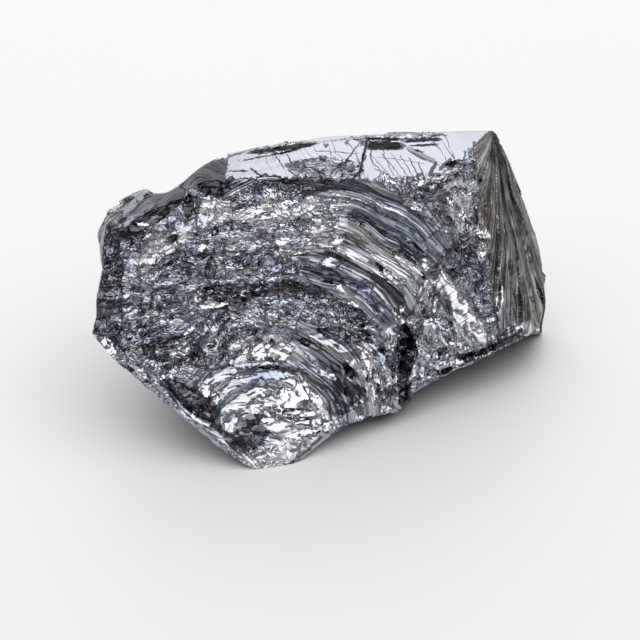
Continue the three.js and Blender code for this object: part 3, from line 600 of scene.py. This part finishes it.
def fracture(net, position, normal):
    """How the crack ran at a place: what is noted there for the material, and what the chips need.

    The grain counts flakes across the crack's lines, along them and into the lump. The chips need
    the spot on the face, its depth and whether it is in front of the back.
    """
    p = position * TO_MM - NOSE
    fine_waver = net.sway(p, *FINE_WAVER)
    wavering = p + net.sway(p, *BROAD_WAVER) * BROAD_PUSH + fine_waver * FINE_PUSH
    u, v, w = on_face(wavering)
    # steadier readings of the same place: for chips, for the edges of regions and for swept lines
    chip_u, chip_v, _ = on_face(p + fine_waver * CHIP_PUSH)
    edge_u, edge_v, edge_w = on_face(p + fine_waver * EDGE_PUSH)
    swept = p + net.sway(p, *SWEPT_WAVER) * SWEPT_PUSH
    swept_u, swept_v, _ = on_face(swept)
    chip_spot = net.vector(chip_u, chip_v, 1.0)
    edge_spot = net.vector(edge_u, edge_v, 1.0)
    swept_spot = net.vector(swept_u, swept_v, 1.0)

    nose_reach, nose_angle = net.polar(u - FAN[0], v - FAN[1])
    fan_reach, fan_angle = net.polar(swept_u - FAN[0], swept_v - FAN[1])
    arch_reach, arch_angle = net.polar(swept_u - ARCH[0], swept_v - ARCH[1])
    shoulder_reach, shoulder_angle = net.polar(swept_u - SHOULDER[0], swept_v - SHOULDER[1])
    end = swept - TOP_RIGHT
    end_reach, end_angle = net.polar(-end.dot(END_UP), end.dot(END_ALONG))

    # behind the top left corner even the upturned surfaces broke the way the back did
    beyond = edge_w > edge_spot.dot(BACK_DEPTH)
    facing = normal.dot(INTO)
    corner = (edge_u < CREST_LEFT) * (edge_v > CORNER_FOOT) * CORNER_TURN
    before = 1.0 - beyond * (facing > 0.0)
    # the crest has a ragged foot, a patch of rubble and a rough rind along its top
    fringe = (net.noise(edge_spot, 0.35) - 0.5) * FRINGE
    climb = net.math("MAXIMUM", edge_u - CREST_CLIMB_FROM, 0.0) * CREST_CLIMB
    crest = (edge_v + fringe - CREST_FOOT - climb > 0.0) * (edge_u > CREST_LEFT)
    clear = 1.0 - inside(net, edge_spot, RUBBLE, square=0.5)
    rind = sum(inside(net, edge_spot, shape, square=0.5) for shape in RINDS)
    # the great arcs stop at a step on the left and at the ridge on the right, with ragged ends
    feather = net.noise(net.vector(arch_reach * 1.1, arch_angle * 1.5, 0.0), 1.0) - 0.5
    ragged_u = edge_u + feather * FEATHER
    inner = (arch_reach < ARCH_STEP) * (edge_spot.dot(STEP_LINE) < 0.0) * (ragged_u > INNER_LEFT)
    outer = (ragged_u > OUTER_LEFT) + (arch_reach > ARCH_OUTERMOST)
    outer = (arch_reach > ARCH_STEP) * outer * (edge_u > OUTERMOST_LEFT)
    arch = net.between(arch_reach, *ARCH_SPAN) * (edge_spot.dot(RIDGE_LINE) < 0.0) * (inner + outer)
    shoulder = net.between(shoulder_reach, *SHOULDER_SPAN) * net.between(edge_u, *SHOULDER_SIDES)
    masks = {
        "nose": (fan_reach < FAN_SPAN[0]) * (edge_v > NOSE_FOOT),
        "fan": net.between(fan_reach, *FAN_SPAN) * net.between(fan_angle, *FAN_ANGLES),
        "arch": arch * clear > 0.0,
        "ridge": inside(net, swept_spot, RIDGE, square=0.4),
        "back": beyond * (facing + corner > 0.0),
        "stack": inside(net, edge_spot, STACK, square=0.7) * before * (edge_w < STACK_DEPTH),
        "shoulder": shoulder * before * (edge_v > SHOULDER_FOOT) * (edge_w < SHOULDER_DEPTH),
        "bevel": inside(net, edge_spot, BEVEL, square=0.7),
        "right": edge_spot.dot(RIGHT_LINE) > 0.0,
        "top": crest * clear * (rind < 0.5),
        "strip": (edge_u + fringe * 0.5 < STRIP_RIGHT) * net.between(edge_v, *STRIP_ENDS),
    }

    # each region's travel in mm: across the crack's lines, along them and into the lump
    turning = (edge_u > HACKLE_TURNS_FROM) * (edge_v < LOWER_RIGHT_TOP)
    along_ridge, across_ridge = measured(swept_spot, RIDGE)
    along_stack, across_stack = measured(swept_spot, STACK)
    along_bevel, across_bevel = measured(swept_spot, BEVEL)
    travel = {
        "hackle": hackle_travel(net, u, v, w, turning),
        "nose": (nose_reach, nose_angle * RADIUS["nose"], w),
        "fan": (fan_reach, fan_angle * RADIUS["fan"], w * STEADY),
        "arch": (arch_reach, arch_angle * RADIUS["arch"], w * STEADY),
        "ridge": (along_ridge, across_ridge, w * STEADY),
        "back": (wavering.dot(BACK_ACROSS), wavering.dot(BACK_ALONG), w),
        "stack": (across_stack, along_stack, w * STEADY),
        "shoulder": (shoulder_reach, shoulder_angle * RADIUS["shoulder"], w * STEADY),
        "bevel": (across_bevel, along_bevel, w * STEADY),
        "right": (end_angle * RADIUS["right"], end_reach, 0.0),
        "top": (v, u, w),
        "strip": (u, v, w),
    }
    looks = {"fan": net.bands(fan_reach, FAN_BANDS), "arch": net.bands(arch_reach, ARCH_BANDS)}
    layers = None
    for name, (spans, character, look) in REGIONS.items():
        across, along, deep = travel[name]
        grain = net.vector(across / spans[0], along / spans[1], deep / FLAKE_DEPTH)
        layer = (grain, Vector(spans), Vector(character), looks.get(name) or Vector(look))
        if name in masks:
            layer = [net.pick(masks[name], below, above) for below, above in zip(layers, layer)]
        layers = layer
    grain, size, habit, finish = layers

    # the tone drifts from place to place, least on the swept regions and not at all on the crest
    swept_names = ("arch", "fan", "ridge", "stack", "shoulder", "bevel")
    calm = net.clamp(sum(masks[name] for name in swept_names))
    drift = (net.noise(wavering, 0.42) - 0.5) * (1.0 - masks["top"]) * (DRIFT - calm * CALM)
    lit = (net.noise(edge_spot, 0.3, 1.0) > 0.47) * (edge_u > LIT_FROM) * (edge_v < LOWER_RIGHT_TOP)
    finish = finish + net.vector(drift + lit * LIT_TONE, 0.0, 0.0)
    terrace = net.pick(lit, NO_TERRACE, LIT_TERRACE)
    for *shape, rise_along, rise_up, teeth in TERRACES:
        cut = inside(net, chip_spot, shape, square=0.7)
        terrace = net.pick(cut, terrace, Vector((rise_along, rise_up, teeth)))
        finish = net.pick(cut, finish, TERRACE_GLINT_FINISH)
    noted = {"grain": grain, "size": size, "habit": habit, "finish": finish, "terrace": terrace}
    return noted, chip_spot, w, 1.0 - masks["back"]


def plates(net, grain, size, scale, lift=0.18):
    """Height in mm, at a slope of 1, of a mosaic of tilted plates, and a colour for each plate."""
    colour, middle = net.cells(grain, scale)
    x, y, _ = ((grain - middle) * size).xyz()
    lean_x, lean_y, lean_z = ((colour - HALF) * 2.0).xyz()
    return x * lean_x + y * lean_y * ALONG_TILT + lean_z * (lift / scale), colour


def creases(net, grain, size, scale):
    """Height in mm, at a slope of about 1, of hollows between sharp folds, and 0 on each fold."""
    folded = abs(net.noise(grain, scale, 0.6) - 0.5)
    wide = size.xyz()[0]
    return folded * wide * (1.6 / scale), folded


def streaks(net, grain, scale):
    """A value about 0 that runs in fine lines along the crack."""
    return net.noise(grain * Vector((scale, scale * 0.16, scale * 0.3)), 1.0, 2.0) - 0.5


# ---- settings
class LumpSettings(bpy.types.PropertyGroup):
    """Sizes and colours of the lump."""

    voxel: bpy.props.FloatProperty(
        name="Grain", description="Size of the finest break in the mesh",
        default=0.3 * MM, unit="LENGTH", precision=5,
    )
    triangles: bpy.props.IntProperty(
        name="Triangles", description="About how many triangles the lump is thinned to",
        default=190000,
    )
    relief: bpy.props.FloatProperty(
        name="Relief", description="Strength of the flakes in the mesh",
        default=1.0, subtype="FACTOR", min=0, max=2,
    )
    metal: bpy.props.FloatVectorProperty(
        name="Metal", description="Colour of a clean break",
        default=(0.45, 0.46, 0.515), subtype="COLOR", min=0, max=1,
    )
    # painted shade: this dark colour stands in for shade and dark reflections in deep and dull
    # breaks and on dark chips
    dark: bpy.props.FloatVectorProperty(
        name="Dark", description="Colour of deep or dull breaks",
        default=(0.09, 0.09, 0.10), subtype="COLOR", min=0, max=1,
    )
    blue: bpy.props.FloatVectorProperty(
        name="Blue tint", description="Colour of the bluish flakes",
        default=(0.36, 0.40, 0.52), subtype="COLOR", min=0, max=1,
    )
    # painted reflection: the brown tint stands in for warm surroundings reflected in the breaks
    brown: bpy.props.FloatVectorProperty(
        name="Brown tint", description="Colour of the tarnished breaks",
        default=(0.30, 0.28, 0.24), subtype="COLOR", min=0, max=1,
    )
    # painted reflection: this lighter colour stands in for the lamps reflected in the brightest
    # clean facets
    bright: bpy.props.FloatVectorProperty(
        name="Bright facets", description="Colour of the brightest clean facets",
        default=(0.58, 0.585, 0.61), subtype="COLOR", min=0, max=1,
    )
    # painted glints: this near white stands in for the lamps' glints on the finest splinters
    glint_white: bpy.props.FloatVectorProperty(
        name="Frost", description="Colour of the finest splinters",
        default=(0.93, 0.94, 0.97), subtype="COLOR", min=0, max=1,
    )


class StageSettings(bpy.types.PropertyGroup):
    """The floor, the lights and the camera."""

    floor: bpy.props.FloatVectorProperty(
        name="Floor", description="Colour of the floor",
        default=(0.65, 0.65, 0.645), subtype="COLOR", min=0, max=1,
    )
    overhead: bpy.props.FloatProperty(
        name="Overhead", description="Power of the light above",
        default=18.0, unit="POWER",
    )
    behind: bpy.props.FloatProperty(
        name="Behind", description="Power of the light behind",
        default=6.2, unit="POWER",
    )
    surroundings: bpy.props.FloatProperty(
        name="Surroundings", description="Brightness of the room", default=0.13,
    )
    lens: bpy.props.FloatProperty(
        name="Lens", description="Focal length in millimetres",
        default=191.5, unit="CAMERA",
    )


# ---- the lump
# A lump with fewer faces than this has gone wrong.
FEWEST_FACES = 1000


def only(obj):
    """Deselects everything else and makes obj active."""
    bpy.ops.object.select_all(action="DESELECT")
    obj.select_set(True)
    bpy.context.view_layer.objects.active = obj


def chip_tree():
    """A node group for one chip: a diamond with its own finish and painted light and, if flat, its
    own plane.
    """
    tree = bpy.data.node_groups.new("Chip", "GeometryNodeTree")
    for name in ("Spot", "Lengthways", "Crossways", "Plane", "Look", "Move", "Finish"):
        tree.interface.new_socket(name, in_out="INPUT", socket_type="NodeSocketVector")
    for name in ("Front", "Flat", "Depth"):
        tree.interface.new_socket(name, in_out="INPUT", socket_type="NodeSocketFloat")
    tree.interface.new_socket("Move", in_out="OUTPUT", socket_type="NodeSocketVector")
    tree.interface.new_socket("Finish", in_out="OUTPUT", socket_type="NodeSocketVector")
    net = Net(tree)
    entry = net.node("NodeGroupInput", {}, {})
    taken = {socket.name: Wire(net, socket) for socket in entry.outputs if socket.name}
    out = outwards(net, taken["Spot"], taken["Lengthways"], taken["Crossways"], square=0.35)
    mask = (out < 1.0) * taken["Front"]
    inwards = taken["Spot"].dot(taken["Plane"]) - taken["Depth"]
    inwards = net.math("MINIMUM", net.math("MAXIMUM", inwards, -DEEPEST_CHIP), DEEPEST_CHIP)
    move = net.pick(mask * taken["Flat"], taken["Move"], net.vector(*INTO) * inwards)
    finish = net.pick(mask, taken["Finish"], taken["Look"])
    net.node("NodeGroupOutput", {}, {"Move": move, "Finish": finish})
    return tree


def relief_tree(strength):
    """Geometry nodes that move the surface by its flakes and note how it broke there."""
    tree = bpy.data.node_groups.new("Lump relief", "GeometryNodeTree")
    tree.interface.new_socket("Geometry", in_out="INPUT", socket_type="NodeSocketGeometry")
    tree.interface.new_socket("Geometry", in_out="OUTPUT", socket_type="NodeSocketGeometry")
    net = Net(tree)
    entry = net.node("NodeGroupInput", {}, {})
    position = net.get("GeometryNodeInputPosition", {}, {})
    normal = net.get("GeometryNodeInputNormal", {}, {})
    noted, spot, depth, front = fracture(net, position, normal)
    grain, size, finish = noted["grain"], noted["size"], noted["finish"]
    lean, pit, _ = noted["habit"].xyz()
    coarse, _ = plates(net, grain, size, COARSE_FLAKES)
    folds, _ = creases(net, grain, size, COARSE_CREASES)
    move = normal * ((coarse * lean + folds * pit) * size.xyz()[2])

    chip = chip_tree()
    chips = [(*row[1:], *CHIP_KINDS[row[0]]) for row in CHIPS]
    facets = [(*row[:6], 1, *row[6:8], FACET_STAND, *row[8:], 0.0) for row in FACETS]
    for row in chips + facets:
        along, up, into, length, width, turn, flat, fall_along, fall_up, stand, *look = row
        lengthways, crossways = axes(along, up, length, width, turn)
        level = into - stand - fall_along * along - fall_up * up
        sockets = {
            "Spot": spot,
            "Front": front,
            "Flat": flat,
            "Lengthways": lengthways,
            "Crossways": crossways,
            "Plane": Vector((fall_along, fall_up, level)),
            "Depth": depth,
            "Look": Vector(look),
            "Move": move,
            "Finish": finish,
        }
        made = net.node("GeometryNodeGroup", {"node_tree": chip}, sockets)
        move, finish = Wire(net, made.outputs["Move"]), Wire(net, made.outputs["Finish"])
    noted["finish"] = finish

    shape = entry.outputs[0]
    settings = {"data_type": "FLOAT_VECTOR", "domain": "POINT"}
    for name, value in noted.items():
        sockets = {"Geometry": shape, "Name": name, "Value": value}
        shape = net.node("GeometryNodeStoreNamedAttribute", settings, sockets).outputs[0]
    grounded = net.ramp(position.xyz()[2], *FOOT)
    offset = move * (grounded * (strength * MM))
    moved = net.node("GeometryNodeSetPosition", {}, {"Geometry": shape, "Offset": offset})
    net.node("NodeGroupOutput", {}, {"Geometry": moved.outputs[0]})
    return tree


def silicon(settings):
    """Freshly broken silicon: mirror facets, finer flakes and blue tints, with painted shade,
    reflections, glints and brown warm reflections in its colour.
    """
    material = bpy.data.materials.new("Silicon")
    material.use_nodes = True
    tree = material.node_tree
    tree.nodes.clear()
    net = Net(tree)

    def noted(name):
        return net.get("ShaderNodeAttribute", {"attribute_name": name}, {}, "Vector")

    grain, size = noted("grain"), noted("size")
    lean, pit, streak = noted("habit").xyz()
    tone_and_painted_light, smooth, brown = noted("finish").xyz()
    rise_along, rise_up, teeth = noted("terrace").xyz()
    wide = size.xyz()[0]
    rough = 1.0 - smooth
    place = net.get("ShaderNodeTexCoord", {}, {}, "Object") * TO_MM - NOSE
    place = place + net.noise(place, 0.8, 1.0, "Color") * 0.25

    # fine flakes, folds and lines stand on the rough breaks, and terraces on the bright bands
    fine, fine_colour = plates(net, grain, size, FINE_FLAKES, lift=0.05)
    folds, _ = creases(net, grain + APART, size, MIDDLE_CREASES)
    fine_folds, folded = creases(net, grain, size, FINE_CREASES)
    lines, broad_lines = streaks(net, grain, FINE_LINES), streaks(net, grain, BROAD_LINES)
    height = fine * lean * FLAKE_HEIGHT + (folds + fine_folds) * pit
    height = height + (lines * LINE_HEIGHT + broad_lines * BROAD_LINE_HEIGHT) * wide * streak
    rise = place.dot(ALONG) * rise_along + place.dot(UP) * rise_up
    terraces = net.math("FRACT", rise * teeth) / teeth
    height = (height * rough + terraces) * MM
    bump = net.get("ShaderNodeBump", {}, {"Strength": 1.0, "Distance": 1.0, "Height": height})

    # painted glints: splinters stand bright along the edges of the deeper flakes, some of them wide
    # and some narrow
    pick_wide, pick_narrow, _ = net.noise(grain, 0.8, 1.0, "Color").xyz()
    wavy = grain + net.sway(grain, 2.4, 2.0) * 0.5
    edge_glints = net.ramp(net.cell_edges(wavy, 1.3), 0.10, 0.02) * net.ramp(pick_wide, 0.35, 0.65)
    narrow = net.ramp(net.cell_edges(wavy, 3.2), 0.10, 0.02) * net.ramp(pick_narrow, 0.4, 0.7)
    edge_glints = edge_glints + narrow

    # hairline cracks run down across the flat facets as thin lines of painted shade
    across, along, _ = (grain * size).xyz()
    hair = net.vector(across * 0.22 + along * 0.39, along * 0.03 - across * 0.05, 0.0)
    hairline = net.ramp(abs(net.noise(hair, 1.0, 1.0) - 0.5), 0.018, 0.004)
    hairline = hairline * net.ramp(net.noise(hair, 0.35, 0.0), 0.48, 0.53)
    hairline = hairline * net.ramp(smooth, 0.85, 0.9)

    # each flake has its own random tone, lines show on it as painted streaks of glint and shade,
    # and folds and splinters shine as painted glints
    pick_red, pick_green, pick_blue = fine_colour.xyz()
    _, coarse_colour = plates(net, grain, size, COARSE_FLAKES)
    coarse_red, coarse_green, _ = coarse_colour.xyz()
    flakes = (pick_red - 0.5 + coarse_green - 0.5) * FLAKE_TONE
    lined = (lines * LINE_TONE + broad_lines * BROAD_LINE_TONE) * streak
    fold_and_edge_glints = (net.ramp(folded, 0.05, 0.0) * FOLD_TONE + edge_glints * EDGE_GLINT_TONE) * pit
    tone_and_painted_light = tone_and_painted_light + (flakes + lined + fold_and_edge_glints) * rough - hairline * HAIRLINE_TONE

    # the cracks and dark breaks are painted shade, and show only near the front
    marked_u, marked_v, marked_depth = on_face(place + net.sway(place, 1.1, 1.0) * 0.5)
    marked = net.vector(marked_u, marked_v, 1.0)
    near = marked_depth < CRACK_DEPTH + marked_u * CRACK_DEEPENS
    for *shape, painted_crack_tone in CRACKS:
        crack = net.ramp(outwards(net, marked, *axes(*shape), square=0.75), 1.1, 0.85)
        tone_and_painted_light = net.pick(crack * near, tone_and_painted_light, painted_crack_tone)

    # tone above 1 paints glints near white and rougher; the dark, bright and black tints paint
    # shade and reflections by tone, the brown tint paints warm reflections, and the blue tint falls
    # at random from flake to flake
    painted_glint = net.clamp(tone_and_painted_light - 1.0)
    tints = [
        (net.ramp(coarse_red, 0.5, 0.9) * (0.2 + rough), settings.blue),
        (net.clamp(brown * 1.4 - pick_blue * 0.4), settings.brown),
        (net.clamp(1.0 - tone_and_painted_light * 2.0), settings.dark),
        (net.clamp(tone_and_painted_light * 2.0 - 1.0), settings.bright),
        (net.clamp(tone_and_painted_light * -2.0 - 1.0), BLACK),
        (painted_glint, settings.glint_white),
    ]
    colour = settings.metal
    for factor, tint in tints:
        colour = net.tint(factor, colour, tint)
    polish = MIRROR_ROUGHNESS + pick_green * FLAKE_ROUGHNESS * rough
    polish = polish + streak * STREAK_ROUGHNESS + painted_glint * GLINT_ROUGHNESS
    sockets = {"Metallic": 1.0, "Base Color": colour, "Roughness": polish, "Normal": bump}
    shader = net.node("ShaderNodeBsdfPrincipled", {}, sockets)
    net.node("ShaderNodeOutputMaterial", {}, {"Surface": shader.outputs[0]})
    return material


class SILICON_OT_lump(bpy.types.Operator):
    """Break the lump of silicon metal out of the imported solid"""

    bl_idname = "silicon.lump"
    bl_label = "Silicon lump"

    def execute(self, context):
        settings = context.scene.silicon_lump
        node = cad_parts["silicon_lump"]
        lump = bpy.data.objects.new("lump", node.data.copy())
        context.scene.collection.objects.link(lump)
        only(lump)
        bpy.ops.object.mode_set(mode="EDIT")
        bpy.ops.mesh.select_all(action="SELECT")
        bpy.ops.mesh.remove_doubles(threshold=0.001 * MM)
        bpy.ops.object.mode_set(mode="OBJECT")

        remesh = lump.modifiers.new("Grain", "REMESH")
        remesh.mode = "VOXEL"
        remesh.voxel_size = settings.voxel
        bpy.ops.object.modifier_apply(modifier=remesh.name)

        soften = lump.modifiers.new("Soften", "SMOOTH")
        soften.factor = 0.5
        soften.iterations = 3
        bpy.ops.object.modifier_apply(modifier=soften.name)

        relief = lump.modifiers.new("Relief", "NODES")
        relief.node_group = relief_tree(settings.relief)
        bpy.ops.object.modifier_apply(modifier=relief.name)

        lump.data.calc_loop_triangles()
        thin = lump.modifiers.new("Thin", "DECIMATE")
        thin.ratio = min(1.0, settings.triangles / len(lump.data.loop_triangles))
        bpy.ops.object.modifier_apply(modifier=thin.name)
        if len(lump.data.polygons) < FEWEST_FACES:
            raise RuntimeError("the lump came out empty")
        bpy.ops.object.shade_smooth_by_angle(angle=math.radians(22))

        lump.data.materials.clear()
        lump.data.materials.append(silicon(settings))
        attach(lump, "root")
        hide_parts("silicon_lump")
        return {"FINISHED"}


# ---- the stage
# Where the camera stands, in mm from the nose. It looks squarely at the broad face.
CAMERA = Vector((8.5, -476.2, 365.9))


class SILICON_OT_stage(bpy.types.Operator):
    """Lay the floor, hang the lights and set the camera"""

    bl_idname = "silicon.stage"
    bl_label = "Floor, lights and camera"

    def lamp(self, context, name, power, size, place, aim):
        data = bpy.data.lights.new(name, "AREA")
        data.shape = "RECTANGLE"
        data.size, data.size_y = size
        data.energy = power
        lamp = bpy.data.objects.new(name, data)
        context.scene.collection.objects.link(lamp)
        lamp.location = place
        lamp.visible_camera = False
        lamp.rotation_euler = (Vector(aim) - Vector(place)).to_track_quat("-Z", "Y").to_euler()

    def execute(self, context):
        settings = context.scene.silicon_stage
        bpy.ops.object.select_all(action="DESELECT")
        bpy.ops.mesh.primitive_plane_add(size=6.0)
        floor = context.active_object
        floor.name = "floor"
        material = bpy.data.materials.new("Floor")
        material.use_nodes = True
        shader = material.node_tree.nodes["Principled BSDF"]
        shader.inputs["Base Color"].default_value = (*settings.floor, 1)
        shader.inputs["Roughness"].default_value = 0.45
        floor.data.materials.append(material)

        world = bpy.data.worlds.new("Room")
        world.use_nodes = True
        background = world.node_tree.nodes["Background"]
        background.inputs["Color"].default_value = (1, 1, 1, 1)
        net = Net(world.node_tree)
        # the room is dim below the horizon and brightens upwards
        _, _, above = net.get("ShaderNodeTexCoord", {}, {}, "Generated").xyz()
        glow = (0.4 + net.clamp(above) * 2.4) * settings.surroundings
        net.feed(background.inputs["Strength"], glow)
        context.scene.world = world

        lamps = (
            ("Overhead", settings.overhead, (2.0, 1.8), (0.0, 0.2, 0.8), (0.0, 0.2, 0.0)),
            ("Behind", settings.behind, (2.0, 0.7), (-0.15, 1.2, 0.5), (-0.15, 0.0, 0.3)),
        )
        for name, power, size, place, aim in lamps:
            self.lamp(context, name, power, size, place, aim)

        data = bpy.data.cameras.new("Camera")
        data.lens = settings.lens
        data.sensor_width = 36
        camera = bpy.data.objects.new("Camera", data)
        context.scene.collection.objects.link(camera)
        camera.location = (CAMERA + NOSE) * MM
        camera.rotation_euler = (math.pi / 2 - RISE, 0, 0)
        context.scene.camera = camera
        context.scene.view_settings.view_transform = "Standard"
        return {"FINISHED"}


# ---- the panel
class SILICON_PT_panel(bpy.types.Panel):
    """The lump's settings and its two operators"""

    bl_label = "Silicon metal lump"
    bl_idname = "SILICON_PT_panel"
    bl_space_type = "VIEW_3D"
    bl_region_type = "UI"
    bl_category = "Silicon"

    def draw(self, context):
        for group in ("lump", "stage"):
            box = self.layout.box()
            settings = getattr(context.scene, f"silicon_{group}")
            for name in settings.bl_rna.properties.keys():
                if name not in {"rna_type", "name"}:
                    box.prop(settings, name)
            box.operator(f"silicon.{group}")


CLASSES = (LumpSettings, StageSettings, SILICON_OT_lump, SILICON_OT_stage, SILICON_PT_panel)


def register():
    for made in CLASSES:
        bpy.utils.register_class(made)
    bpy.types.Scene.silicon_lump = bpy.props.PointerProperty(type=LumpSettings)
    bpy.types.Scene.silicon_stage = bpy.props.PointerProperty(type=StageSettings)


def unregister():
    del bpy.types.Scene.silicon_stage
    del bpy.types.Scene.silicon_lump
    for made in reversed(CLASSES):
        bpy.utils.unregister_class(made)


def main():
    register()
    bpy.ops.silicon.lump()
    bpy.ops.silicon.stage()


if __name__ == "__main__":
    main()
